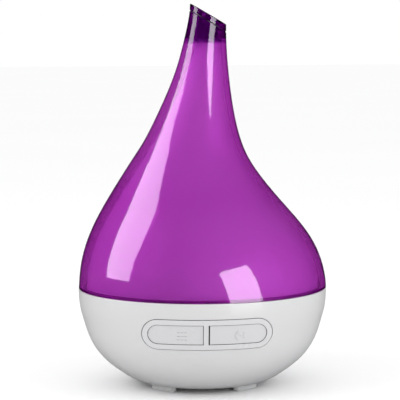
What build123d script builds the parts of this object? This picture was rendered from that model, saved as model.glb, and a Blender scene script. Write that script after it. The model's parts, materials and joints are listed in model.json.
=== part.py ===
from build123d import *

import os
from math import cos, radians, sin, sqrt

# Ultrasonic cool mist humidifier. A clear tinted teardrop cover and a white inner mist cone
# lift off a bowl-shaped base. The base holds the water tank, its ultrasonic disc, a small
# fan that blows the mist up the cone, the electronics, two push buttons and a power socket.
# Millimetres, +Z up, the buttons face -Y, the spout's tip leans to -X, and the origin is on
# the surface the feet stand on, under the bowl's centre.

os.makedirs("parts", exist_ok=True)

# ---------------------------------------------------------------- driving dimensions

body_radius = 75.0  # the widest circle, where cover and base meet
seam_height = 59.0  # that circle, above the table
overall_height = 230.4  # tip of the spout, before its edge is rounded
foot_height = 3.0  # from the table to the base's flat underside
underside_radius = 38.8  # flat underside of the bowl

housing_wall = 2.6
cover_wall = 2.4
cone_wall = 1.6
tank_wall = 2.0

slide_gap = 0.3  # between pieces that move past each other
seat_gap = 0.15  # between fixed pieces that drop into each other

mouth_radius = 11.0  # outside of the spout
mouth_bore = 7.6  # inside of the spout, above the cone
mouth_tilt = 30.7  # degrees, the slanted cut across the spout
mouth_rounding = 0.4
mouth_groove_drop = 3.4  # from the cut down to the fine groove round the spout
mouth_groove_width = 0.8
mouth_groove_depth = 0.4
cone_height = 208.0  # top of the mist cone
cone_gap_base = 2.5  # between the two shells at the seam
cone_gap_left = 5.2  # and at the top of the cone, on each side
cone_gap_right = 0.9

# How the teardrop narrows, as (share of its height, share of the radius still to lose),
# and how far its middle leans to +X there, in millimetres.
teardrop_radius = [
    (0.0, 1.0),
    (0.08, 0.973),
    (0.16, 0.902),
    (0.24, 0.780),
    (0.33, 0.605),
    (0.43, 0.419),
    (0.52, 0.284),
    (0.63, 0.175),
    (0.74, 0.092),
    (0.86, 0.031),
    (1.0, 0.0),
]
teardrop_lean = [
    (0.0, 0.0),
    (0.16, -1.4),
    (0.33, -5.6),
    (0.43, -6.7),
    (0.52, -5.4),
    (0.63, -2.8),
    (0.74, 0.0),
    (0.86, 2.4),
    (1.0, 4.5),
]
# The bowl's outline from the underside's edge to the seam, as shares across and up.
bowl_shape = [(0.0, 0.0), (0.28, 0.09), (0.56, 0.23), (0.81, 0.45), (0.94, 0.70), (1.0, 1.0)]

# Water tank
basin_margin = 23.0  # from the bowl's widest circle in to the basin
basin_floor = 28.0
water_line_drop = 11.0  # from the seam down to the fill mark
flange_drop = 4.0  # tank flange's top, below the seam
flange_thick = 2.0
collar_height = 2.0  # splash collar's top, above the seam
gasket_thick = 1.0
ledge_thick = 1.8
ledge_margin = 8.4
key_width = 5.0
key_height = 2.5

# Ultrasonic disc, under a hole in the tank's floor
disc_place = (-14.0, 0.0)
disc_radius = 10.0
disc_plate_thick = 0.5
ceramic_radius = 8.0
ceramic_thick = 0.8
disc_window = 8.2
seal_radius = 11.4
seal_thick = 3.4
clamp_radius = 15.0
clamp_thick = 2.2
clamp_screw_circle = 13.2

# Fan and air duct
fan_place = (18.0, 0.0)
fan_side = 30.0
fan_thick = 8.0
fan_bore = 13.8
fan_screw_spacing = 24.0
fan_lift = 2.2  # pillars between bottom plate and fan
fan_blades = 7
hub_radius = 7.0
shaft_radius = 1.0
shaft_clearance = 0.05
duct_bore = 9.0
duct_top_drop = 8.0
plenum_bore = 13.0
duct_gasket_thick = 1.0
duct_cap_thick = 1.5
duct_cap_gap = 6.0

# Bottom plate
plate_radius = 37.6
plate_thick = 2.4
plate_ledge = 2.6  # how far the housing's ledge reaches in over the plate
plate_ledge_thick = 1.6
base_screw_circle = 28.0
boss_radius = 4.0
foot_arc = 22.0  # degrees, before the rounded ends
foot_width = 5.2
pad_inset = 0.8
pad_proud = 0.6
pad_sunk = 0.6

# Button panel, on the front of the bowl
panel_drop = 18.4  # from the seam down to the panel's middle
bezel_width = 75.4
bezel_height = 17.8
window_width = 69.2
window_height = 11.8
divider_width = 2.8
divider_middle = -1.0
divider_gap = 0.8  # the wider gap at the divider's right
bezel_gap = 0.35
bezel_proud = 0.5
bezel_flange = 1.2
bezel_flange_reach = 2.4
button_gap = 0.3
button_flange = 1.2
button_flange_reach = 1.2
symbol_depth = 0.3
switch_offset = 17.0
switch_side = 6.0
switch_thick = 3.5
plunger_radius = 1.7
plunger_stands = 1.5

# Boards
board_thick = 1.6
control_board_margin = 16.5  # from the bowl's widest circle in to the board's front
control_board_size = (53.0, 18.0)
control_board_drop = 21.6
main_board_size = (34.0, 29.0)
main_board_middle = (-24.5, 0.0)
main_board_height = 11.0
board_post_spread = (20.0, 23.0)
board_post_middle = -20.0
led_board_margins = (19.0, 13.0)
led_board_thick = 1.2
led_board_drop = 11.0
led_side = 4.0
led_thick = 1.4
led_count = 6

# Power socket, low at the back, for a 5.5 mm plug
socket_height = 17.6
socket_pocket_radius = 6.6
socket_pocket_wall = 1.8
socket_floor_margin = 20.5  # from the bowl's widest circle in to the pocket's floor
socket_floor_thick = 2.5
socket_bore = 2.9
socket_depth = 11.5
socket_pin = 1.0
socket_pin_length = 10.0
socket_nose = 3.9
socket_body_size = (8.6, 14.0, 8.0)

lead_radius = 0.65
screw_gap = 0.05

# Screws: shank length, shank radius, head radius, head thickness
clamp_screw = (5.0, 0.9, 1.6, 1.0)
fan_screw = (11.4, 0.95, 1.9, 1.2)
board_screw = (5.0, 1.0, 1.8, 1.2)
base_screw = (9.0, 1.3, 2.6, 1.2)
base_screw_recess = 1.3

# ---------------------------------------------------------------- heights that follow

water_line = seam_height - water_line_drop
duct_top = seam_height - duct_top_drop
panel_height = seam_height - panel_drop
control_board_middle = seam_height - control_board_drop
led_board_height = seam_height - led_board_drop
basin_radius = body_radius - basin_margin
ledge_radius = body_radius - ledge_margin
control_board_face = body_radius - control_board_margin
led_board_rings = [body_radius - margin for margin in led_board_margins]
socket_floor = body_radius - socket_floor_margin
plate_top = foot_height + plate_thick
inside_bottom = plate_top + plate_ledge_thick
flange_top = seam_height - flange_drop
flange_bottom = flange_top - flange_thick
gasket_bottom = flange_bottom - gasket_thick
tank_underside = basin_floor - tank_wall
fan_bottom = plate_top + fan_lift
fan_top = fan_bottom + fan_thick
seal_bottom = tank_underside - seal_thick
clamp_bottom = seal_bottom - clamp_thick
rim_bore = body_radius - housing_wall  # inside of the base's rim
skirt_outer = rim_bore - slide_gap
skirt_inner = skirt_outer - 1.5
cone_base_radius = skirt_inner - 0.6
collar_outer = cone_base_radius - cone_wall - slide_gap
collar_inner = collar_outer - 1.8
tank_outer = basin_radius + tank_wall
duct_outer = duct_bore + tank_wall
main_board_top = main_board_height + board_thick
duct_gasket_top = fan_top + duct_gasket_thick
ledge_bottom = gasket_bottom - ledge_thick
socket_body_front = socket_floor - socket_floor_thick
socket_body_back = socket_body_front - socket_body_size[1]


# ---------------------------------------------------------------- shared forms


def smooth(points, place):
    """The value at a place on a smooth curve through (place, value) points, level at its ends."""
    last = len(points) - 1
    place = min(max(place, 0.0), 1.0)
    slopes = [0.0] * (last + 1)
    for k in range(1, last):
        rise = points[k + 1][1] - points[k - 1][1]
        slopes[k] = rise / (points[k + 1][0] - points[k - 1][0])
    k = max(n for n in range(last) if n == 0 or points[n][0] <= place)
    (x0, y0), (x1, y1) = points[k], points[k + 1]
    width = x1 - x0
    t = (place - x0) / width
    near = (1 + 2 * t) * (1 - t) ** 2 * y0 + t * (1 - t) ** 2 * width * slopes[k]
    far = t * t * (3 - 2 * t) * y1 + t * t * (t - 1) * width * slopes[k + 1]
    return near + far


def cover_section(height):
    """Left edge, right edge and slope factor of the cover's outside at a height."""
    share = (height - seam_height) / (overall_height - seam_height)
    radius = mouth_radius + (body_radius - mouth_radius) * smooth(teardrop_radius, share)
    lean = smooth(teardrop_lean, share)
    step = 0.01
    narrowing = smooth(teardrop_radius, share) - smooth(teardrop_radius, share + step)
    slope = narrowing * (body_radius - mouth_radius) / (step * (overall_height - seam_height))
    return lean - radius, lean + radius, sqrt(1 + slope * slope)


def cone_section(height):
    """The same for the mist cone's outside, which keeps a gap inside the cover's wall."""
    left, right, lengthen = cover_section(height)
    share = (height - seam_height) / (cone_height - seam_height)
    gap_left = cone_gap_base + (cone_gap_left - cone_gap_base) * share
    gap_right = cone_gap_base + (cone_gap_right - cone_gap_base) * share
    wall = cover_wall * lengthen
    return left + wall + gap_left, right - wall - gap_right, lengthen


def lofted(section, low, high, wall=0.0, count=14):
    """A solid through round sections, each moved in by a wall measured square to the surface."""
    with BuildPart(mode=Mode.PRIVATE) as form:
        for step in range(count + 1):
            height = low + (high - low) * step / count
            left, right, lengthen = section(height)
            radius = (right - left) / 2 - wall * lengthen
            with BuildSketch(Plane.XY.offset(height)):
                with Locations(((left + right) / 2, 0)):
                    Circle(radius)
        loft()
    return form.part


def bowl_points(depth):
    """Points of the bowl's outline (radius, height), moved in by a depth."""
    across, up = body_radius - underside_radius, seam_height - foot_height
    outline = Spline(
        *[(underside_radius + x * across, foot_height + y * up) for x, y in bowl_shape],
        tangents=[(1, 0.25), (0, 1)],
    )
    points = []
    for step in range(13):
        place, heading = outline @ (step / 12), outline % (step / 12)
        points.append((place.X - heading.Y * depth, place.Y + heading.X * depth))
    return points


def bowl(depth=0.0, bottom=None, top=seam_height):
    """The bowl filled solid, with its surface moved in by a depth."""
    points = bowl_points(depth)
    with BuildPart(mode=Mode.PRIVATE) as form:
        with BuildSketch(Plane.XZ):
            with BuildLine():
                outline = Spline(*points)
                start, end = outline @ 0, outline @ 1
                Polyline(end, (0, end.Y), (0, start.Y), start)
            make_face()
        revolve()
        if bottom is not None and bottom > points[0][1]:
            with BuildSketch(Plane.XY.offset(bottom)):
                Circle(2 * body_radius)
            extrude(amount=-bottom, mode=Mode.SUBTRACT)
    return form.part


def ring(outer, inner, low, high, place=(0, 0)):
    """A plain ring, or a disc where inner is 0."""
    with BuildPart(mode=Mode.PRIVATE) as form:
        with BuildSketch(Plane.XY.offset(low)):
            with Locations(place):
                Circle(outer)
                if inner > 0:
                    Circle(inner, mode=Mode.SUBTRACT)
        extrude(amount=high - low)
    return form.part


def screw(length, shank, head, head_thick):
    """A cross-recessed pan screw, its head under z = 0 and its shank up the Z axis."""
    with BuildPart(mode=Mode.PRIVATE) as form:
        with BuildSketch():
            Circle(head)
        extrude(amount=-head_thick)
        fillet(form.edges().group_by(Axis.Z)[0], 0.35 * head_thick)
        with BuildSketch():
            Circle(shank)
        extrude(amount=length)
        chamfer(form.edges().group_by(Axis.Z)[-1], 0.4 * shank)
        with BuildSketch(Plane.XY.offset(-head_thick)):
            Rectangle(1.2 * head, 0.25 * head)
            Rectangle(0.25 * head, 1.2 * head)
        extrude(amount=0.5 * head_thick, mode=Mode.SUBTRACT)
    return form.part


def lead(points, bend=2.0):
    """A round lead along straight runs joined by arcs."""
    with BuildPart(mode=Mode.PRIVATE) as form:
        with BuildLine() as route:
            FilletPolyline(*points, radius=bend)
        with BuildSketch(Plane(origin=route.line @ 0, z_dir=route.line % 0)):
            Circle(lead_radius)
        sweep(path=route.line)
    return form.part


def save(piece, label):
    piece.label = label
    export_step(piece, f"parts/{label}.step")


# ---------------------------------------------------------------- outer cover

mouth_left = cover_section(overall_height)[0]
mouth_slope = radians(mouth_tilt)
mouth_cut = Plane(
    origin=(mouth_left, 0, overall_height),
    x_dir=(cos(mouth_slope), 0, -sin(mouth_slope)),
    z_dir=(sin(mouth_slope), 0, cos(mouth_slope)),
)
loft_top = overall_height + 2.0
cover_bottom = seam_height + slide_gap
skirt_bottom = flange_top + slide_gap
skirt_root = seam_height + 1.4
cavity_top = cone_height + 1.2


def bore_section(height):
    """The spout's bore, round the cover's own middle."""
    left, right, _ = cover_section(height)
    middle = (left + right) / 2
    return middle - mouth_bore, middle + mouth_bore, 1.0


cover_form = lofted(cover_section, seam_height, loft_top)
cover_cavity = lofted(cover_section, seam_height, cavity_top, cover_wall)
mouth_hole = lofted(bore_section, cavity_top - 0.5, loft_top + 1, count=4)
groove_core = lofted(cover_section, cavity_top - 6, loft_top, mouth_groove_depth, count=5)

with BuildPart() as mouth_groove:
    with BuildSketch(mouth_cut.offset(-mouth_groove_drop - mouth_groove_width)):
        with Locations((mouth_radius, 0)):
            Circle(3 * mouth_radius)
    extrude(amount=mouth_groove_width)
    add(groove_core, mode=Mode.SUBTRACT)

with BuildPart() as outer_cover:
    add(cover_form)
    add(cover_cavity, mode=Mode.SUBTRACT)
    add(mouth_hole, mode=Mode.SUBTRACT)
    split(bisect_by=mouth_cut, keep=Keep.BOTTOM)
    fillet(outer_cover.faces().filter_by(mouth_cut).edges(), mouth_rounding)
    add(mouth_groove.part, mode=Mode.SUBTRACT)
    add(ring(2 * body_radius, 0, seam_height - 1, cover_bottom), mode=Mode.SUBTRACT)
    add(ring(body_radius - 0.5 * cover_wall, skirt_inner, cover_bottom, skirt_root))
    add(ring(skirt_outer, skirt_inner, skirt_bottom, cover_bottom))
    with BuildSketch(Plane.XZ.offset(-body_radius)):
        with Locations((0, flange_top)):
            Rectangle(key_width + 2 * slide_gap, 2 * (key_height + slide_gap))
    extrude(amount=2 * cover_wall + 4, mode=Mode.SUBTRACT)
save(outer_cover.part, "outer_cover")

# ---------------------------------------------------------------- mist cone

with BuildPart() as mist_cone:
    add(lofted(cone_section, seam_height, cone_height))
    fillet(mist_cone.faces().sort_by(Axis.Z)[-1].edges(), 0.7)
    add(ring(cone_base_radius, 0, flange_top, seam_height))
    add(lofted(cone_section, seam_height, cone_height + 0.5, cone_wall), mode=Mode.SUBTRACT)
    add(ring(cone_base_radius - cone_wall, 0, flange_top, seam_height), mode=Mode.SUBTRACT)
    with BuildSketch(Plane.XZ.offset(-body_radius)):
        with Locations((0, flange_top)):
            Rectangle(key_width + 2 * slide_gap, 2 * (key_height + slide_gap))
    extrude(amount=body_radius - collar_outer + 1, mode=Mode.SUBTRACT)
save(mist_cone.part, "mist_cone")

# ---------------------------------------------------------------- base housing

socket_axis = Plane(origin=(0, 0, socket_height), x_dir=(-1, 0, 0), z_dir=(0, 1, 0))
panel_plane = Plane(origin=(0, 0, panel_height), x_dir=(1, 0, 0), z_dir=(0, -1, 0))
bowl_inside = bowl(housing_wall, inside_bottom)
bowl_outside = bowl()


def stadium(width, height, reach=0.0):
    """A panel outline grown by a reach, run forward from the axis past the bowl."""
    with BuildPart(mode=Mode.PRIVATE) as form:
        with BuildSketch(panel_plane):
            SlotOverall(width + 2 * reach, height + 2 * reach)
        extrude(amount=body_radius + 5)
    return form.part


def along_socket(radius, start, end):
    """A round bar on the socket's axis between two distances behind the bowl's axis."""
    with BuildPart(mode=Mode.PRIVATE) as form:
        with BuildSketch(socket_axis.offset(start)):
            Circle(radius)
        extrude(amount=end - start)
    return form.part


pocket_radius = socket_pocket_radius + socket_pocket_wall
pocket = along_socket(pocket_radius, socket_floor - socket_floor_thick, body_radius) & bowl_outside
gasket_seat = ring(rim_bore, ledge_radius, ledge_bottom, gasket_bottom) & bowl_outside

with BuildPart() as base_housing:
    add(bowl_outside)
    fillet(base_housing.faces().sort_by(Axis.Z)[-1].edges(), 0.4)
    add(bowl_inside, mode=Mode.SUBTRACT)
    add(ring(rim_bore, 0, gasket_bottom, seam_height + 1), mode=Mode.SUBTRACT)
    add(gasket_seat)
    add(pocket)
    add(along_socket(socket_pocket_radius, socket_floor, body_radius), mode=Mode.SUBTRACT)
    add(along_socket(socket_nose + seat_gap, socket_body_back, body_radius), mode=Mode.SUBTRACT)
    add(stadium(bezel_width, bezel_height, bezel_gap), mode=Mode.SUBTRACT)
    add(ring(plate_radius + seat_gap, 0, 0, plate_top), mode=Mode.SUBTRACT)
    add(ring(plate_radius - plate_ledge, 0, plate_top, inside_bottom), mode=Mode.SUBTRACT)
save(base_housing.part, "base_housing")

# ---------------------------------------------------------------- button panel

bezel_back = housing_wall + 0.1 + bezel_flange
button_back = bezel_back + 0.1 + button_flange
bezel_front_form = bowl(-bezel_proud)
flange_space = bowl(housing_wall + 0.1)
bezel_back_form = bowl(bezel_back)
button_flange_space = bowl(bezel_back + 0.1)
button_back_form = bowl(button_back)
flange_ceiling = ring(body_radius, 0, ledge_bottom - seat_gap, seam_height)
window = stadium(window_width, window_height)

with BuildPart() as panel_bezel:
    add(stadium(bezel_width, bezel_height, bezel_flange_reach))
    add(flange_space, mode=Mode.INTERSECT)
    add(flange_ceiling, mode=Mode.SUBTRACT)
    add(stadium(bezel_width, bezel_height) & bezel_front_form)
    add(bezel_back_form, mode=Mode.SUBTRACT)
    add(window, mode=Mode.SUBTRACT)
    with BuildSketch(panel_plane.offset(body_radius / 2)):
        with Locations((divider_middle, 0)):
            Rectangle(divider_width, window_height + 2)
    extrude(amount=body_radius)
    add(bezel_front_form, mode=Mode.INTERSECT)
    add(bezel_back_form, mode=Mode.SUBTRACT)
save(panel_bezel.part, "panel_bezel")

plunger_tip = control_board_face + switch_thick + plunger_stands


def button(side):
    """One push button: a cap with a symbol, a flange that keeps it in and a stem for its switch."""
    halfway = side * body_radius / 2
    gap = button_gap if side < 0 else divider_gap
    inner_end = divider_middle + side * (divider_width / 2 + gap)
    cap = stadium(window_width, window_height, -button_gap) & bowl_outside
    flange = stadium(window_width, window_height, button_flange_reach) & button_flange_space
    with BuildPart(mode=Mode.PRIVATE) as form:
        add(cap)
        add(flange)
        add(button_back_form, mode=Mode.SUBTRACT)
        with BuildSketch(panel_plane):
            with Locations((inner_end + halfway, 0)):
                Rectangle(body_radius, body_radius)
        extrude(amount=2 * body_radius, mode=Mode.INTERSECT)
        with BuildSketch(panel_plane.offset(plunger_tip + 0.05)):
            with Locations((side * switch_offset, 0)):
                Circle(plunger_radius + 0.4)
        extrude(until=Until.NEXT)
    return form.part


symbol_floor = bowl(symbol_depth)
lamp_middle = (17.6, -0.6)
mist_middle = (-14.8, -0.6)

with BuildPart() as lamp_symbol:
    with BuildSketch(panel_plane):
        with Locations(lamp_middle):
            with PolarLocations(1.1, 2, 0, 180):
                Rectangle(0.5, 0.5)
        with Locations((lamp_middle[0] - 1.2, lamp_middle[1] + 1.4)):
            Rectangle(4.0, 0.45, rotation=60)
        with Locations((lamp_middle[0] - 1.2, lamp_middle[1] - 1.6)):
            Rectangle(3.6, 0.45, rotation=-50)
        with Locations((lamp_middle[0] + 3.0, lamp_middle[1])):
            with GridLocations(0, 1.5, 1, 3):
                Rectangle(0.9, 0.4)
    extrude(amount=2 * body_radius)
    add(symbol_floor, mode=Mode.SUBTRACT)

with BuildPart() as mist_symbol:
    with BuildSketch(panel_plane):
        with Locations(mist_middle):
            with GridLocations(2.1, 2.2, 3, 3):
                Rectangle(1.3, 0.4)
            with Locations((-1.0, 1.1)):
                with GridLocations(2.1, 2.2, 2, 2):
                    Rectangle(1.3, 0.4)
    extrude(amount=2 * body_radius)
    add(symbol_floor, mode=Mode.SUBTRACT)

with BuildPart() as left_button:
    add(button(-1))
    add(mist_symbol.part, mode=Mode.SUBTRACT)
save(left_button.part, "left_button")

with BuildPart() as right_button:
    add(button(1))
    add(lamp_symbol.part, mode=Mode.SUBTRACT)
save(right_button.part, "right_button")

# ---------------------------------------------------------------- water tank

with BuildPart() as tank_key:
    with BuildSketch(Plane.XY.offset(flange_top)):
        with Locations((0, (collar_outer + skirt_outer) / 2 - slide_gap)):
            Rectangle(key_width, skirt_outer - collar_outer)
    extrude(amount=key_height)
    fillet(tank_key.edges().group_by(Axis.Z)[-1].group_by(Axis.Y)[-1], 0.6)

base_screw_hole = base_screw[1] + screw_gap
clamp_screw_hole = clamp_screw[1] + screw_gap
clamp_boss_radius = 1.7
led_post_radius = 2.2
led_peg_radius = 0.9
led_post_circle = sum(led_board_rings) / 2
control_post_spread = 44.0
control_post_side = 4.0
control_peg_radius = 1.0
control_board_back = control_board_face - board_thick

with BuildPart() as water_tank:
    add(ring(rim_bore - seat_gap, 0, flange_bottom, flange_top))
    add(ring(tank_outer, 0, tank_underside, flange_top))
    fillet(water_tank.faces().sort_by(Axis.Z)[0].edges(), 3.0)
    add(ring(basin_radius, 0, basin_floor, flange_top), mode=Mode.SUBTRACT)
    fillet(water_tank.faces().filter_by(Plane.XY).sort_by(Axis.Z)[1].edges(), 3.0)
    fillet(water_tank.edges().group_by(Axis.Z)[-1].sort_by(SortBy.RADIUS)[0], 1.2)
    add(ring(collar_outer, collar_inner, flange_top, seam_height + collar_height))
    fillet(water_tank.edges().group_by(Axis.Z)[-1], 0.5)
    add(ring(basin_radius + 0.4, basin_radius - 1, water_line, water_line + 0.6), mode=Mode.SUBTRACT)
    add(tank_key.part)
    duct_hole = ring(duct_outer + seat_gap, 0, tank_underside - 1, basin_floor + 1, fan_place)
    add(duct_hole, mode=Mode.SUBTRACT)
    add(ring(disc_window, 0, tank_underside - 1, basin_floor + 1, disc_place), mode=Mode.SUBTRACT)
    with BuildSketch(Plane.XY.offset(seal_bottom)):
        with Locations(disc_place):
            with PolarLocations(clamp_screw_circle, 4, 0):
                Circle(clamp_boss_radius)
                Circle(clamp_screw_hole, mode=Mode.SUBTRACT)
    extrude(amount=seal_thick + 0.5)
    with BuildSketch(Plane.XY.offset(plate_top)):
        with PolarLocations(base_screw_circle, 4, 45):
            Circle(boss_radius)
            Circle(base_screw_hole, mode=Mode.SUBTRACT)
    extrude(amount=tank_underside - plate_top)
    with BuildSketch(Plane.XY.offset(led_board_height + led_board_thick)):
        with PolarLocations(led_post_circle, 3):
            Circle(led_post_radius)
    extrude(amount=flange_bottom - led_board_height - led_board_thick)
    with BuildSketch(Plane.XY.offset(led_board_height - 0.6)):
        with PolarLocations(led_post_circle, 3):
            Circle(led_peg_radius)
    extrude(amount=led_board_thick + 1.6)
    with BuildSketch(Plane.XZ.offset(control_board_back)):
        with Locations((0, control_board_middle)):
            with GridLocations(control_post_spread, 0, 2, 1):
                Rectangle(control_post_side, control_post_side)
    extrude(until=Until.NEXT, dir=(0, 1, 0))
    with BuildSketch(Plane.XZ.offset(control_board_face + 0.6)):
        with Locations((0, control_board_middle)):
            with GridLocations(control_post_spread, 0, 2, 1):
                Circle(control_peg_radius)
    extrude(amount=-board_thick - 1.6)
save(water_tank.part, "water_tank")

save(ring(rim_bore - seat_gap, ledge_radius + seat_gap, gasket_bottom, flange_bottom), "tank_gasket")

with BuildPart() as air_duct:
    add(ring(duct_outer, 0, duct_gasket_top, duct_top, fan_place))
    fillet(air_duct.edges().group_by(Axis.Z)[-1], 0.5)
    add(ring(plenum_bore + tank_wall, 0, duct_gasket_top, tank_underside, fan_place))
    add(ring(plenum_bore, 0, duct_gasket_top, tank_underside - tank_wall, fan_place), mode=Mode.SUBTRACT)
    add(ring(duct_bore, 0, duct_gasket_top, duct_top, fan_place), mode=Mode.SUBTRACT)
save(air_duct.part, "air_duct")

with BuildPart() as duct_cap:
    cap_bottom = duct_top + duct_cap_gap
    add(ring(duct_outer, 0, cap_bottom, cap_bottom + duct_cap_thick, fan_place))
    fillet(duct_cap.edges().group_by(Axis.Z)[-1], 0.9)
    with BuildSketch(Plane.XY.offset(duct_top)):
        with Locations(fan_place):
            with PolarLocations((duct_outer + duct_bore) / 2, 3):
                Rectangle(duct_outer - duct_bore - 0.4, 3.5)
    extrude(amount=duct_cap_gap)
save(duct_cap.part, "duct_cap")

duct_gasket_outer = plenum_bore + tank_wall
save(ring(duct_gasket_outer, fan_bore, fan_top, duct_gasket_top, fan_place), "duct_gasket")

# ---------------------------------------------------------------- ultrasonic disc

disc_top = tank_underside - 1.0
disc_plate_bottom = disc_top - disc_plate_thick
ceramic_bottom = disc_plate_bottom - ceramic_thick

with BuildPart() as disc_seal:
    add(ring(seal_radius, ceramic_radius + 0.5, seal_bottom, tank_underside, disc_place))
    fillet(disc_seal.edges().group_by(Axis.Z)[0], 0.4)
    add(ring(disc_radius, 0, disc_plate_bottom, disc_top, disc_place), mode=Mode.SUBTRACT)
save(disc_seal.part, "disc_seal")

save(ring(disc_radius, 0, disc_plate_bottom, disc_top, disc_place), "disc_plate")
save(ring(ceramic_radius, 0, ceramic_bottom, disc_plate_bottom, disc_place), "disc_ceramic")

with BuildPart() as disc_clamp:
    add(ring(clamp_radius, ceramic_radius + 1.0, clamp_bottom, seal_bottom, disc_place))
    chamfer(disc_clamp.edges().group_by(Axis.Z)[0], 0.4)
    with BuildSketch(Plane.XY.offset(clamp_bottom)):
        with Locations(disc_place):
            with PolarLocations(clamp_screw_circle, 4, 0):
                Circle(clamp_screw_hole + 0.15)
    extrude(amount=clamp_thick, mode=Mode.SUBTRACT)
save(disc_clamp.part, "disc_clamp")

clamp_screw_form = screw(*clamp_screw)
with BuildPart() as clamp_screws:
    with Locations((disc_place[0], disc_place[1], clamp_bottom)):
        with PolarLocations(clamp_screw_circle, 4, 0):
            add(clamp_screw_form)
save(clamp_screws.part, "clamp_screws")

# ---------------------------------------------------------------- fan

fan_floor_thick = 1.2
fan_floor_top = fan_bottom + fan_floor_thick
bearing_top = fan_bottom + 5.8
impeller_bottom = fan_floor_top + 0.6
impeller_top = fan_top - 0.6

with BuildPart() as fan_frame:
    with BuildSketch(Plane.XY.offset(fan_bottom)):
        with Locations(fan_place):
            RectangleRounded(fan_side, fan_side, 2.5)
    extrude(amount=fan_thick)
    add(ring(fan_bore, 0, fan_bottom, fan_top, fan_place), mode=Mode.SUBTRACT)
    with BuildSketch(Plane.XY.offset(fan_bottom)):
        with Locations(fan_place):
            Circle(hub_radius)
            with PolarLocations(fan_bore / 2, 3, 30):
                Rectangle(fan_bore + 1, 1.6)
    extrude(amount=fan_floor_thick)
    with BuildSketch(Plane.XY.offset(fan_bottom)):
        with Locations(fan_place):
            with GridLocations(fan_screw_spacing, fan_screw_spacing, 2, 2):
                Circle(fan_screw[1] + 0.3)
    extrude(amount=fan_thick, mode=Mode.SUBTRACT)
save(fan_frame.part, "fan_frame")

bearing_outer = 2.3
bearing_bore = shaft_radius + shaft_clearance
save(ring(bearing_outer, bearing_bore, fan_floor_top, bearing_top, fan_place), "fan_bearing")

with BuildPart() as fan_windings:
    add(ring(3.4, bearing_outer, fan_floor_top + 0.4, bearing_top - 0.6, fan_place))
    with BuildSketch(Plane.XY.offset(fan_floor_top + 0.9)):
        with Locations(fan_place):
            with PolarLocations(4.2, 4):
                RectangleRounded(2.4, 3.6, 0.6)
    extrude(amount=bearing_top - fan_floor_top - 2.0)
save(fan_windings.part, "fan_windings")

with BuildPart() as fan_impeller:
    add(ring(hub_radius, 0, impeller_bottom, impeller_top, fan_place))
    fillet(fan_impeller.edges().group_by(Axis.Z)[-1], 0.8)
    add(ring(hub_radius - 0.8, 0, impeller_bottom, impeller_top - 1.0, fan_place), mode=Mode.SUBTRACT)
    for blade in range(fan_blades):
        turn = Location((fan_place[0], fan_place[1], impeller_bottom + 2.6), (0, 0, blade * 360 / fan_blades))
        tilted = turn * Location((0, 0, 0), (32, 0, 0))
        blade_middle = (hub_radius + fan_bore - 0.6) / 2
        blade_length = fan_bore - 0.6 - hub_radius + 0.8
        with Locations(tilted * Location((blade_middle - 0.1, 0, 0))):
            Box(blade_length, 6.4, 0.8)
    add(ring(fan_bore - 0.5, 0, fan_floor_top, fan_top, fan_place), mode=Mode.INTERSECT)
    add(ring(hub_radius - 0.8, 0, impeller_bottom, impeller_top - 1.0, fan_place), mode=Mode.SUBTRACT)
    add(ring(shaft_radius, 0, impeller_bottom, impeller_top - 0.3, fan_place), mode=Mode.SUBTRACT)
save(fan_impeller.part, "fan_impeller")

save(ring(shaft_radius, 0, fan_floor_top + 0.4, impeller_top - 0.3, fan_place), "fan_shaft")

fan_screw_form = Rot(180, 0, 0) * screw(*fan_screw)
with BuildPart() as fan_screws:
    with Locations((fan_place[0], fan_place[1], fan_top)):
        with GridLocations(fan_screw_spacing, fan_screw_spacing, 2, 2):
            add(fan_screw_form)
save(fan_screws.part, "fan_screws")

# ---------------------------------------------------------------- bottom plate

foot_middle = plate_radius - 0.2 - foot_width / 2
screw_seat = foot_height + base_screw_recess
grille_radius = fan_bore - 1.3
slot_width = 1.6
slot_pitch = 3.2
slot_count = 7

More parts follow.
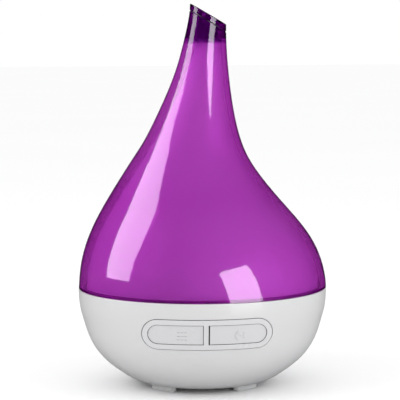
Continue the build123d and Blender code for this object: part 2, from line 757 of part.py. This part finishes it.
with BuildPart() as bottom_plate:
    add(ring(plate_radius, 0, foot_height, plate_top))
    chamfer(bottom_plate.edges().group_by(Axis.Z)[0], 0.4)
    for quarter in range(4):
        start = 45 + 90 * quarter - foot_arc / 2
        with BuildSketch(Plane.XY.offset(pad_proud)):
            SlotArc(CenterArc((0, 0), foot_middle, start, foot_arc, mode=Mode.PRIVATE), foot_width)
        extrude(amount=foot_height - pad_proud)
        with BuildSketch(Plane.XY.offset(pad_proud)):
            arc = CenterArc((0, 0), foot_middle, start, foot_arc, mode=Mode.PRIVATE)
            SlotArc(arc, foot_width - 2 * pad_inset)
        extrude(amount=pad_sunk, mode=Mode.SUBTRACT)
    with BuildSketch(Plane.XY.offset(foot_height)):
        with PolarLocations(base_screw_circle, 4, 45):
            Circle(base_screw[2] + 0.3)
    extrude(amount=base_screw_recess, mode=Mode.SUBTRACT)
    with BuildSketch(Plane.XY.offset(foot_height)):
        with PolarLocations(base_screw_circle, 4, 45):
            Circle(base_screw_hole + 0.15)
    extrude(amount=plate_thick, mode=Mode.SUBTRACT)
    with BuildSketch(Plane.XY.offset(foot_height)):
        for slot in range(slot_count):
            across = (slot - (slot_count - 1) / 2) * slot_pitch
            half = sqrt(grille_radius**2 - across**2)
            with Locations((fan_place[0], fan_place[1] + across)):
                SlotOverall(2 * half, slot_width)
    extrude(amount=plate_thick, mode=Mode.SUBTRACT)
    with BuildSketch(Plane.XY.offset(plate_top)):
        with Locations(fan_place):
            with GridLocations(fan_screw_spacing, fan_screw_spacing, 2, 2):
                Circle(2.2)
    extrude(amount=fan_lift)
    with BuildSketch(Plane.XY.offset(plate_top)):
        with Locations((board_post_middle, 0)):
            with GridLocations(*board_post_spread, 2, 2):
                Circle(2.2)
    extrude(amount=main_board_height - plate_top)
    with BuildSketch(Plane.XY.offset(foot_height + 1.0)):
        with Locations(fan_place):
            with GridLocations(fan_screw_spacing, fan_screw_spacing, 2, 2):
                Circle(fan_screw[1] + screw_gap)
    extrude(amount=fan_bottom - foot_height - 1.0, mode=Mode.SUBTRACT)
    with BuildSketch(Plane.XY.offset(plate_top)):
        with Locations((board_post_middle, 0)):
            with GridLocations(*board_post_spread, 2, 2):
                Circle(board_screw[1] + screw_gap)
    extrude(amount=main_board_height - plate_top, mode=Mode.SUBTRACT)
save(bottom_plate.part, "bottom_plate")

with BuildPart() as foot_pads:
    for quarter in range(4):
        start = 45 + 90 * quarter - foot_arc / 2
        with BuildSketch():
            arc = CenterArc((0, 0), foot_middle, start, foot_arc, mode=Mode.PRIVATE)
            SlotArc(arc, foot_width - 2 * pad_inset)
        extrude(amount=pad_proud + pad_sunk)
    fillet(foot_pads.edges().group_by(Axis.Z)[0], 0.25)
save(foot_pads.part, "foot_pads")

base_screw_form = screw(*base_screw)
with BuildPart() as base_screws:
    with Locations((0, 0, screw_seat)):
        with PolarLocations(base_screw_circle, 4, 45):
            add(base_screw_form)
save(base_screws.part, "base_screws")

# ---------------------------------------------------------------- main board

connector_height = 5.0
lead_height = main_board_top + connector_height / 2
lead_pitch = 2.0
power_connector = (-14.1, 12.2)
fan_connector = (-9.7, -3.0)
control_connector = (-36.6, -12.1)
disc_lead_places = [(-16.5, 5.5), (-11.5, 5.5)]
heat_sink_middle = (-37.0, -2.0)
coil_middle = (-36.5, 9.5)
capacitor_places = [(-25.2, 10.6), (-19.8, 10.6)]


def block(middle, size, low, high):
    """An upright block between two heights."""
    with BuildPart(mode=Mode.PRIVATE) as form:
        with BuildSketch(Plane.XY.offset(low)):
            with Locations(middle):
                Rectangle(*size)
        extrude(amount=high - low)
    return form.part


with BuildPart() as main_board:
    add(block(main_board_middle, main_board_size, main_board_height, main_board_top))
    fillet(main_board.edges().filter_by(Axis.Z), 1.0)
    with BuildSketch(Plane.XY.offset(main_board_height)):
        with Locations((board_post_middle, 0)):
            with GridLocations(*board_post_spread, 2, 2):
                Circle(board_screw[1] + 0.2)
    extrude(amount=board_thick, mode=Mode.SUBTRACT)
save(main_board.part, "main_board")

board_screw_form = Rot(180, 0, 0) * screw(*board_screw)
with BuildPart() as board_screws:
    with Locations((board_post_middle, 0, main_board_top)):
        with GridLocations(*board_post_spread, 2, 2):
            add(board_screw_form)
save(board_screws.part, "board_screws")

with BuildPart() as heat_sink:
    add(block(heat_sink_middle, (7.5, 10.0), main_board_top, main_board_top + 9.0))
    with BuildSketch(Plane.XY.offset(main_board_top + 2.0)):
        with Locations(heat_sink_middle):
            with GridLocations(0, 2.5, 1, 3):
                Rectangle(8.5, 1.3)
    extrude(amount=8.0, mode=Mode.SUBTRACT)
save(heat_sink.part, "heat_sink")

with BuildPart() as coil:
    add(ring(4.0, 0, main_board_top, main_board_top + 1.2, coil_middle))
    add(ring(2.2, 0, main_board_top + 1.2, main_board_top + 6.0, coil_middle))
    add(ring(4.0, 0, main_board_top + 6.0, main_board_top + 7.2, coil_middle))
save(coil.part, "coil_core")

with BuildPart() as coil_winding:
    add(ring(3.5, 2.2, main_board_top + 1.2, main_board_top + 6.0, coil_middle))
save(coil_winding.part, "coil_winding")

with BuildPart() as capacitors:
    for place in capacitor_places:
        add(ring(2.5, 0, main_board_top, main_board_top + 5.6, place))
    fillet(capacitors.edges().group_by(Axis.Z)[-1], 0.5)
save(capacitors.part, "capacitors")

with BuildPart() as chips:
    with BuildSketch(Plane.XY.offset(main_board_top)):
        with Locations((-25.5, -4.5), (-16.0, -5.0)):
            Rectangle(5.0, 4.0)
        with Locations((-25.0, 3.0)):
            with GridLocations(2.6, 2.2, 3, 2):
                Rectangle(1.6, 0.9)
        with Locations((-18.5, 0.5)):
            with GridLocations(2.6, 0, 2, 1):
                Rectangle(1.6, 0.9)
    extrude(amount=1.2)
save(chips.part, "board_chips")

with BuildPart() as connectors:
    add(block(power_connector, (4.4, 4.4), main_board_top, main_board_top + connector_height))
    add(block(fan_connector, (4.2, 5.4), main_board_top, main_board_top + connector_height))
    add(block(control_connector, (9.2, 4.4), main_board_top, main_board_top + connector_height))
save(connectors.part, "board_connectors")

# ---------------------------------------------------------------- control board

switch_front = control_board_face + switch_thick
back_connector = (-20.0, 31.0)
back_connector_size = (9.6, 4.8)
back_connector_depth = 3.4
led_connector = (9.6, 43.0)


def facing(middle, size, near, far, round_radius=None):
    """A block, or a round bar, standing forward between two distances in front of the axis."""
    with BuildPart(mode=Mode.PRIVATE) as form:
        with BuildSketch(Plane.XZ.offset(near)):
            with Locations(middle):
                if round_radius is None:
                    Rectangle(*size)
                else:
                    Circle(round_radius)
        extrude(amount=far - near)
    return form.part


with BuildPart() as control_board:
    add(facing((0, control_board_middle), control_board_size, control_board_back, control_board_face))
    fillet(control_board.edges().filter_by(Axis.Y), 1.0)
    with BuildSketch(Plane.XZ.offset(control_board_back)):
        with Locations((0, control_board_middle)):
            with GridLocations(control_post_spread, 0, 2, 1):
                Circle(control_peg_radius + 0.1)
    extrude(amount=board_thick, mode=Mode.SUBTRACT)
save(control_board.part, "control_board")

plunger_gap = 0.1

with BuildPart() as switches:
    for side in (-1, 1):
        middle = (side * switch_offset, panel_height)
        add(facing(middle, (switch_side, switch_side), control_board_face, switch_front))
        well = facing(middle, None, control_board_face + 0.3, switch_front, plunger_radius + plunger_gap)
        add(well, mode=Mode.SUBTRACT)
save(switches.part, "tact_switches")

for side, plunger_name in ((-1, "left_plunger"), (1, "right_plunger")):
    middle = (side * switch_offset, panel_height)
    save(facing(middle, None, control_board_face + 1.5, plunger_tip, plunger_radius), plunger_name)

with BuildPart() as control_connectors:
    back_face = control_board_back - back_connector_depth
    add(facing(back_connector, back_connector_size, back_face, control_board_back))
    add(facing(led_connector, (5.0, 4.0), control_board_face, control_board_face + 3.2))
save(control_connectors.part, "control_connectors")

# ---------------------------------------------------------------- light ring

led_board_top = led_board_height + led_board_thick

with BuildPart() as led_board:
    add(ring(led_board_rings[1], led_board_rings[0], led_board_height, led_board_top))
    with BuildSketch(Plane.XY.offset(led_board_height)):
        with PolarLocations(led_post_circle, 3):
            Circle(led_peg_radius + 0.1)
    extrude(amount=led_board_thick, mode=Mode.SUBTRACT)
save(led_board.part, "light_ring_board")

with BuildPart() as leds:
    with BuildSketch(Plane.XY.offset(led_board_top)):
        with PolarLocations(led_post_circle, led_count, 30):
            Rectangle(led_side, led_side)
    extrude(amount=led_thick)
    chamfer(leds.edges().group_by(Axis.Z)[-1], 0.3)
save(leds.part, "light_ring_leds")

# ---------------------------------------------------------------- power socket

with BuildPart() as socket_body:
    with BuildSketch(socket_axis.offset(socket_body_back)):
        Rectangle(socket_body_size[0], socket_body_size[2])
    extrude(amount=socket_body_size[1])
    fillet(socket_body.edges().filter_by(Axis.Y), 0.6)
    add(along_socket(socket_nose, socket_body_front - 1, socket_floor))
    add(along_socket(socket_bore, socket_floor - socket_depth, socket_floor), mode=Mode.SUBTRACT)
save(socket_body.part, "socket_body")

pin_root = socket_floor - socket_depth
with BuildPart() as socket_pin_part:
    add(along_socket(socket_pin, pin_root, pin_root + socket_pin_length))
    fillet(socket_pin_part.edges().group_by(Axis.Y)[-1], 0.5)
save(socket_pin_part.part, "socket_pin")

# ---------------------------------------------------------------- leads

fan_left = fan_place[0] - fan_side / 2

with BuildPart() as power_leads:
    for side, back in ((0.5, 27.5), (-0.5, 30.5)):
        x_socket = 2.4 * side
        x_board = power_connector[0] + 0.8 * lead_pitch * side
        low = socket_height - 2.0
        route = [(x_socket, socket_body_back, low), (x_socket, back, low)]
        route += [(x_board, back - 3.0, lead_height), (x_board, power_connector[1] + 2.2, lead_height)]
        add(lead(route))
save(power_leads.part, "power_leads")

with BuildPart() as fan_leads:
    for side in (-0.5, 0.5):
        y = fan_connector[1] + lead_pitch * side
        route = [(fan_left, y, fan_top - 4), (fan_left - 4.5, y, fan_top - 4)]
        route += [(fan_left - 7.0, y, lead_height), (fan_connector[0] + 2.1, y, lead_height)]
        add(lead(route, 1.0))
save(fan_leads.part, "fan_leads")

with BuildPart() as disc_leads:
    for x, y in disc_lead_places:
        route = [(x, disc_place[1], ceramic_bottom), (x, disc_place[1], main_board_top + 6.4)]
        route += [(x, y, main_board_top + 4.0), (x, y, main_board_top)]
        add(lead(route, 1.2))
save(disc_leads.part, "disc_leads")

with BuildPart() as control_leads:
    for step in (-1.5, -0.5, 0.5, 1.5):
        x_panel = back_connector[0] + lead_pitch * step
        x_board = control_connector[0] + lead_pitch * step
        y_panel = -(control_board_back - back_connector_depth / 2)
        top = back_connector[1] - back_connector_size[1] / 2
        route = [(x_panel, y_panel, top), (x_panel, y_panel, top - 4.2)]
        route += [(x_board, -34.0, lead_height), (x_board, control_connector[1] - 2.2, lead_height)]
        add(lead(route, 1.5))
save(control_leads.part, "control_leads")

with BuildPart() as led_leads:
    for side in (-0.5, 0.5):
        x = led_connector[0] + lead_pitch * side
        start = led_connector[1] + 2.0
        add(ring(lead_radius, 0, start, led_board_height, (x, -control_board_face - 1.6)))
save(led_leads.part, "light_ring_leads")
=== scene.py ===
import json
import math

import bpy
from mathutils import Matrix, Quaternion, Vector


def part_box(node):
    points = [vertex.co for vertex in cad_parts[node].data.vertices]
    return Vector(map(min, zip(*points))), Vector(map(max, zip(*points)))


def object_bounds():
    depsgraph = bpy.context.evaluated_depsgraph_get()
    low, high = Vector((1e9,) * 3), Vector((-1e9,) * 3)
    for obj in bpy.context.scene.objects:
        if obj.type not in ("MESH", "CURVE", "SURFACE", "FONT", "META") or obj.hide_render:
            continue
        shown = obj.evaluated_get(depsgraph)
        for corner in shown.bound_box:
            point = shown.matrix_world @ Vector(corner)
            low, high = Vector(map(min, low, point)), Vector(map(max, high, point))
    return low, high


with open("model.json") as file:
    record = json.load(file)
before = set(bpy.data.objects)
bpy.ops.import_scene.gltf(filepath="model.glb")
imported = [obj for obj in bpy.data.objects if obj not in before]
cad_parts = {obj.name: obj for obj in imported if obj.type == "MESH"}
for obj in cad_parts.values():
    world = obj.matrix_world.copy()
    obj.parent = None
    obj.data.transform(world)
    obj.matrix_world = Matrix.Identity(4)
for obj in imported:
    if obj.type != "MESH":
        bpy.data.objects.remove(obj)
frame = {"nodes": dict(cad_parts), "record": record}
cad_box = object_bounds()
nodes = frame["nodes"]

MOUTH_TILT = math.radians(30.7)  # the slanted cut across the spout
GROOVE_LEVEL = 0.1911  # the fine groove under it, along the cut's own normal
GROOVE_WIDTH = 0.0008

# ---------------------------------------------------------------- node helpers


class Material:
    """A node material with a few shorthands for building it."""

    def __init__(self, name):
        self.material = bpy.data.materials.new(name)
        self.material.use_nodes = True
        self.tree = self.material.node_tree
        self.tree.nodes.clear()
        self.output = self.node("ShaderNodeOutputMaterial")
        self.shader = self.node("ShaderNodeBsdfPrincipled")
        self.link(self.shader.outputs["BSDF"], self.output.inputs["Surface"])
        self.place = self.node("ShaderNodeTexCoord").outputs["Object"]

    def node(self, kind, **settings):
        made = self.tree.nodes.new(kind)
        for key, value in settings.items():
            setattr(made, key, value)
        return made

    def link(self, a, b):
        self.tree.links.new(a, b)

    def set(self, **values):
        for key, value in values.items():
            self.shader.inputs[key.replace("_", " ")].default_value = value

    def stretched(self, scale):
        mapping = self.node("ShaderNodeMapping")
        mapping.inputs["Scale"].default_value = scale
        self.link(self.place, mapping.inputs["Vector"])
        return mapping.outputs["Vector"]

    def noise(self, scale, detail=4.0, roughness=0.55, vector=None, distortion=0.0):
        made = self.node("ShaderNodeTexNoise")
        made.inputs["Scale"].default_value = scale
        made.inputs["Detail"].default_value = detail
        made.inputs["Roughness"].default_value = roughness
        made.inputs["Distortion"].default_value = distortion
        self.link(vector or self.place, made.inputs["Vector"])
        return made.outputs["Fac"]

    def cell_edges(self, scale):
        """The distance to the nearest edge between random cells."""
        made = self.node("ShaderNodeTexVoronoi", feature="DISTANCE_TO_EDGE")
        made.inputs["Scale"].default_value = scale
        self.link(self.place, made.inputs["Vector"])
        return made.outputs["Distance"]

    def remap(self, value, low, high, to_low, to_high):
        made = self.node("ShaderNodeMapRange")
        for key, number in zip(("From Min", "From Max", "To Min", "To Max"), (low, high, to_low, to_high)):
            made.inputs[key].default_value = number
        self.link(value, made.inputs["Value"])
        return made.outputs["Result"]

    def math(self, kind, a, b):
        made = self.node("ShaderNodeMath", operation=kind)
        for socket, value in zip(made.inputs, (a, b)):
            if isinstance(value, (int, float)):
                socket.default_value = value
            else:
                self.link(value, socket)
        return made.outputs[0]

    def ramp(self, value, stops):
        made = self.node("ShaderNodeValToRGB")
        band = made.color_ramp
        while len(band.elements) < len(stops):
            band.elements.new(0.5)
        for element, (position, colour) in zip(band.elements, stops):
            element.position = position
            element.color = (*colour, 1)
        self.link(value, made.inputs["Fac"])
        return made.outputs["Color"]

    def mix(self, factor, a, b):
        """One colour or the other, each given as numbers or as a socket."""
        made = self.node("ShaderNodeMix", data_type="RGBA")
        self.link(factor, made.inputs["Factor"])
        for key, value in ((6, a), (7, b)):  # the node's colour sockets; output 2 is its colour
            if isinstance(value, tuple):
                made.inputs[key].default_value = (*value, 1)
            else:
                self.link(value, made.inputs[key])
        return made.outputs[2]

    def height(self):
        split = self.node("ShaderNodeSeparateXYZ")
        self.link(self.place, split.inputs[0])
        return split.outputs["Z"]

    def colour(self, value):
        self.link(value, self.shader.inputs["Base Color"])

    def rough(self, value):
        self.link(value, self.shader.inputs["Roughness"])

    def bump(self, value, strength, distance, under=None):
        made = self.node("ShaderNodeBump")
        made.inputs["Strength"].default_value = strength
        made.inputs["Distance"].default_value = distance
        self.link(value, made.inputs["Height"])
        if under is not None:
            self.link(under, made.inputs["Normal"])
        self.link(made.outputs["Normal"], self.shader.inputs["Normal"])
        return made.outputs["Normal"]


def moulded(name, colour, variation=0.02, roughness=(0.30, 0.42), grain=1400, grain_depth=0.00002,
            subsurface=0.0, coat=0.0):
    """Moulded plastic: slow colour drift, a fine satin grain, faint handling marks."""
    m = Material(name)
    drift = m.noise(9, 3)
    light = tuple(min(1.0, c * (1 + variation)) for c in colour)
    dark = tuple(c * (1 - variation) for c in colour)
    m.colour(m.ramp(drift, [(0.3, dark), (0.7, light)]))
    marks = m.noise(60, 6, 0.7, distortion=0.6)
    m.rough(m.remap(marks, 0.3, 0.72, *roughness))
    fine = m.bump(m.noise(grain, 3, 0.6), 0.35, grain_depth)
    m.bump(m.noise(34, 2, 0.4), 0.12, 0.00012, fine)
    m.set(IOR=1.49, Coat_Weight=coat, Coat_Roughness=0.12)
    if subsurface:
        m.set(Subsurface_Weight=subsurface, Subsurface_Scale=0.004)
        m.shader.inputs["Subsurface Radius"].default_value = (1.0, 0.85, 0.8)
    return m


# ---------------------------------------------------------------- materials


def tinted_clear():
    """Polished tinted plastic, tinted by its surface and by the wall's depth.

    The top of the spout is tinted deeper, and its fine groove is painted darker as shade and is duller.
    """
    m = Material("tinted_clear")
    low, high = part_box("outer_cover")
    share = m.remap(m.height(), low.z, high.z, 0, 1)
    streak = m.noise(18, 3, 0.5, m.stretched((1, 1, 0.25)))
    share = m.math("ADD", share, m.remap(streak, 0.3, 0.7, -0.005, 0.005))
    body_tint = (0.86, 0.74, 0.88)
    line_start, line_end = 0.862, 0.872  # where the deeper tint sets in, as shares of the height
    tint = m.ramp(share, [
        (0.0, body_tint),
        (0.70, body_tint),
        (line_start, (0.80, 0.62, 0.83)),
        (line_end, (0.36, 0.10, 0.45)),
        (1.0, (0.28, 0.07, 0.36)),
    ])
    along_cut = m.node("ShaderNodeVectorMath", operation="DOT_PRODUCT")
    along_cut.inputs[1].default_value = (math.sin(MOUTH_TILT), 0, math.cos(MOUTH_TILT))
    m.link(m.place, along_cut.inputs[0])
    off_groove = m.math("ABSOLUTE", m.math("SUBTRACT", along_cut.outputs["Value"], GROOVE_LEVEL), 0)
    full_shade_reach, edge = GROOVE_WIDTH * 0.25, GROOVE_WIDTH * 0.55  # off the groove's middle
    groove_shade_and_dulling = m.remap(off_groove, full_shade_reach, edge, 1, 0)
    # Painted shade: a thin near-black purple line along the groove stands in for its shadow; the rougher
    # finish there is real.
    m.colour(m.mix(groove_shade_and_dulling, tint, (0.05, 0.005, 0.08)))
    haze = m.noise(45, 6, 0.7, distortion=0.8)
    polish = m.remap(haze, 0.35, 0.75, 0.015, 0.05)
    m.rough(m.math("MAXIMUM", polish, m.math("MULTIPLY", groove_shade_and_dulling, 0.40)))
    m.bump(m.noise(13, 2, 0.4), 0.06, 0.0003)
    m.set(IOR=1.45, Transmission_Weight=1.0)
    absorb = m.node("ShaderNodeVolumeAbsorption")
    absorb.inputs["Color"].default_value = (0.735, 0.05, 0.745, 1)
    absorb.inputs["Density"].default_value = 480
    m.link(absorb.outputs["Volume"], m.output.inputs["Volume"])
    return m


def circuit_board():
    """Green solder mask with paler copper tracks under it and a fine weave."""
    m = Material("board_green")
    tracks = m.cell_edges(260)
    lines = m.remap(tracks, 0.02, 0.07, 1, 0)
    m.colour(m.mix(lines, (0.012, 0.13, 0.045), (0.03, 0.24, 0.09)))
    m.rough(m.remap(m.noise(120, 4), 0.3, 0.7, 0.22, 0.38))
    m.bump(lines, 0.3, 0.00004)
    m.set(IOR=1.5)
    return m


def metal(name, colour, roughness=(0.22, 0.40), stretch=(1, 1, 1), scratch_scale=500):
    """Bare metal with a brushed direction and slight tarnish."""
    m = Material(name)
    tarnish = m.noise(140, 5, 0.6)
    m.colour(m.ramp(tarnish, [(0.25, tuple(c * 0.8 for c in colour)), (0.7, colour)]))
    brush = m.noise(scratch_scale, 3, 0.6, m.stretched(stretch))
    m.rough(m.remap(brush, 0.3, 0.7, *roughness))
    m.bump(brush, 0.2, 0.00002)
    m.set(Metallic=1.0)
    return m


def winding():
    """Enamelled wire wound in close turns, with painted shade in the creases between the turns."""
    m = Material("copper")
    turn_ridges_and_shade = m.node("ShaderNodeTexWave", bands_direction="Z")
    turn_ridges_and_shade.inputs["Scale"].default_value = 900
    turn_ridges_and_shade.inputs["Distortion"].default_value = 0.6
    m.link(m.place, turn_ridges_and_shade.inputs["Vector"])
    # Painted shade: the dark copper bands stand in for the shade between the round turns.
    m.colour(m.ramp(turn_ridges_and_shade.outputs["Fac"], [(0.1, (0.28, 0.08, 0.02)), (0.6, (0.72, 0.30, 0.10))]))
    m.rough(m.remap(m.noise(200, 3), 0.3, 0.7, 0.22, 0.4))
    m.bump(turn_ridges_and_shade.outputs["Fac"], 0.7, 0.0001)
    m.set(Metallic=0.8, Coat_Weight=0.5)
    return m


def silicone(name, colour):
    """Soft silicone: matt skin, dust and a little light passing through."""
    m = Material(name)
    dust = m.noise(90, 6, 0.7)
    m.colour(m.ramp(dust, [(0.3, tuple(c * 0.92 for c in colour)), (0.75, colour)]))
    m.rough(m.remap(m.noise(400, 4), 0.3, 0.7, 0.45, 0.62))
    m.bump(m.noise(900, 3), 0.25, 0.00003)
    m.set(Subsurface_Weight=0.15, Subsurface_Scale=0.003)
    return m


def lamp_package():
    """A white lamp package with its yellow phosphor in the middle."""
    m = Material("led_white")
    cells = m.noise(300, 3)
    m.colour(m.ramp(cells, [(0.35, (0.85, 0.66, 0.14)), (0.6, (0.95, 0.92, 0.80))]))
    m.rough(m.remap(cells, 0.3, 0.7, 0.15, 0.3))
    m.bump(cells, 0.2, 0.00003)
    return m


finishes = {
    "tinted_clear": tinted_clear(),
    "white_cone": moulded("white_cone", (0.86, 0.84, 0.88), roughness=(0.35, 0.5), subsurface=0.1),
    "white_housing": moulded("white_housing", (0.64, 0.64, 0.645), 0.012, (0.30, 0.40), coat=0.12),
    "white_trim": moulded("white_trim", (0.64, 0.64, 0.65), 0.01, (0.20, 0.30), coat=0.2),
    "button_grey": moulded("button_grey", (0.62, 0.62, 0.63), 0.012, (0.30, 0.42)),
    "tank_white": moulded("tank_white", (0.82, 0.83, 0.84), 0.012, (0.25, 0.40), subsurface=0.1),
    "clear_silicone": silicone("clear_silicone", (0.80, 0.80, 0.78)),
    "black_plastic": moulded("black_plastic", (0.018, 0.018, 0.020), 0.2, (0.35, 0.55), 900, 0.00003),
    "grey_plastic": moulded("grey_plastic", (0.36, 0.36, 0.37), 0.05, (0.38, 0.55)),
    "connector_plastic": moulded("connector_plastic", (0.72, 0.68, 0.57), 0.04, (0.35, 0.5), subsurface=0.1),
    "board_green": circuit_board(),
    "disc_steel": metal("disc_steel", (0.62, 0.62, 0.63), (0.15, 0.3)),
    "ceramic": metal("ceramic", (0.70, 0.68, 0.62), (0.4, 0.6), scratch_scale=900),
    "steel": metal("steel", (0.58, 0.58, 0.59), (0.2, 0.38)),
    "copper": winding(),
    "bronze": metal("bronze", (0.50, 0.34, 0.15), (0.35, 0.55), scratch_scale=800),
    "aluminium": metal("aluminium", (0.76, 0.77, 0.78), (0.25, 0.45), (1, 1, 12)),
    "led_white": lamp_package(),
    "lead_black": silicone("lead_black", (0.03, 0.03, 0.03)),
    "lead_red": silicone("lead_red", (0.50, 0.03, 0.03)),
    "lead_white": silicone("lead_white", (0.78, 0.78, 0.76)),
    "lead_grey": silicone("lead_grey", (0.36, 0.36, 0.37)),
}

for part in frame["record"]["subparts"]:
    mesh = nodes[part["node"]].data
    mesh.materials.clear()
    mesh.materials.append(finishes[part["material_slot"]].material)

# ---------------------------------------------------------------- floor, light and camera


def floor():
    """A pale, fully matt floor that reflections leave out."""
    bpy.ops.mesh.primitive_plane_add(size=14)
    made = bpy.context.object
    made.name = "floor"
    m = Material("floor")
    m.colour(m.ramp(m.noise(3, 3), [(0.3, (0.96, 0.96, 0.965)), (0.7, (0.97, 0.97, 0.975))]))
    m.rough(m.remap(m.noise(40, 4), 0.3, 0.7, 0.75, 0.9))
    m.bump(m.noise(200, 3), 0.05, 0.0001)
    m.set(Specular_IOR_Level=0.0)
    made.data.materials.append(m.material)
    made.visible_glossy = False


def softbox(name, azimuth, elevation, distance, width, height, roll, power, target):
    """A rectangular light facing the target; azimuth runs from the front towards +X, in degrees."""
    a, e = math.radians(azimuth), math.radians(elevation)
    away = Vector((math.sin(a) * math.cos(e), -math.cos(a) * math.cos(e), math.sin(e)))
    data = bpy.data.lights.new(name, "AREA")
    data.shape = "RECTANGLE"
    data.size, data.size_y = width, height
    data.energy = power
    light = bpy.data.objects.new(name, data)
    bpy.context.scene.collection.objects.link(light)
    light.location = target + away * distance
    turned = Quaternion((0, 0, 1), math.radians(roll))
    light.rotation_euler = (away.to_track_quat("Z", "Y") @ turned).to_euler()
    return light


def camera():
    """A long lens, a little to the left and a little above, rolled by a fraction of a degree."""
    eye = Vector((-0.05025, -1.19895, 0.226))
    target = Vector((-0.0011, 0.0, 0.1117))
    forward = (target - eye).normalized()
    right = forward.cross(Vector((0, 0, 1))).normalized()
    up = right.cross(forward)
    roll = math.radians(0.35)
    side = right * math.cos(roll) - up * math.sin(roll)
    top = right * math.sin(roll) + up * math.cos(roll)
    data = bpy.data.cameras.new("camera")
    data.sensor_width = 36
    data.lens = 179.1
    data.clip_start = 0.01
    made = bpy.data.objects.new("camera", data)
    bpy.context.scene.collection.objects.link(made)
    made.matrix_world = Matrix((
        (side.x, top.x, -forward.x, eye.x),
        (side.y, top.y, -forward.y, eye.y),
        (side.z, top.z, -forward.z, eye.z),
        (0, 0, 0, 1),
    ))
    bpy.context.scene.camera = made


# Name, azimuth, elevation, distance, width, height, roll, power, and the rays that leave it out.
# The softboxes put no light on matt surfaces, and the keys leave no highlights.
LIGHTS = (
    ("left_softbox", -88, 29, 1.0, 0.56, 1.02, 5, 13.5, "visible_diffuse"),
    ("right_softbox", 35, 4, 1.25, 0.68, 1.0, 14, 21, "visible_diffuse"),
    ("left_key", -66, 30, 1.1, 0.7, 0.7, 0, 2.4, "visible_glossy"),
    ("right_key", 62, 18, 1.1, 0.7, 0.7, 0, 2.6, "visible_glossy"),
)

floor()
middle = (cad_box[0] + cad_box[1]) / 2
for *placing, power, left_out_of in LIGHTS:
    light = softbox(*placing, power, middle)
    setattr(light, left_out_of, False)

world = bpy.data.worlds.new("studio")
world.use_nodes = True
background = world.node_tree.nodes["Background"]
background.inputs["Color"].default_value = (1.0, 1.0, 1.0, 1)
background.inputs["Strength"].default_value = 1.0
bpy.context.scene.world = world
world.cycles_visibility.glossy = False
bpy.context.scene.view_settings.view_transform = "Standard"

camera()
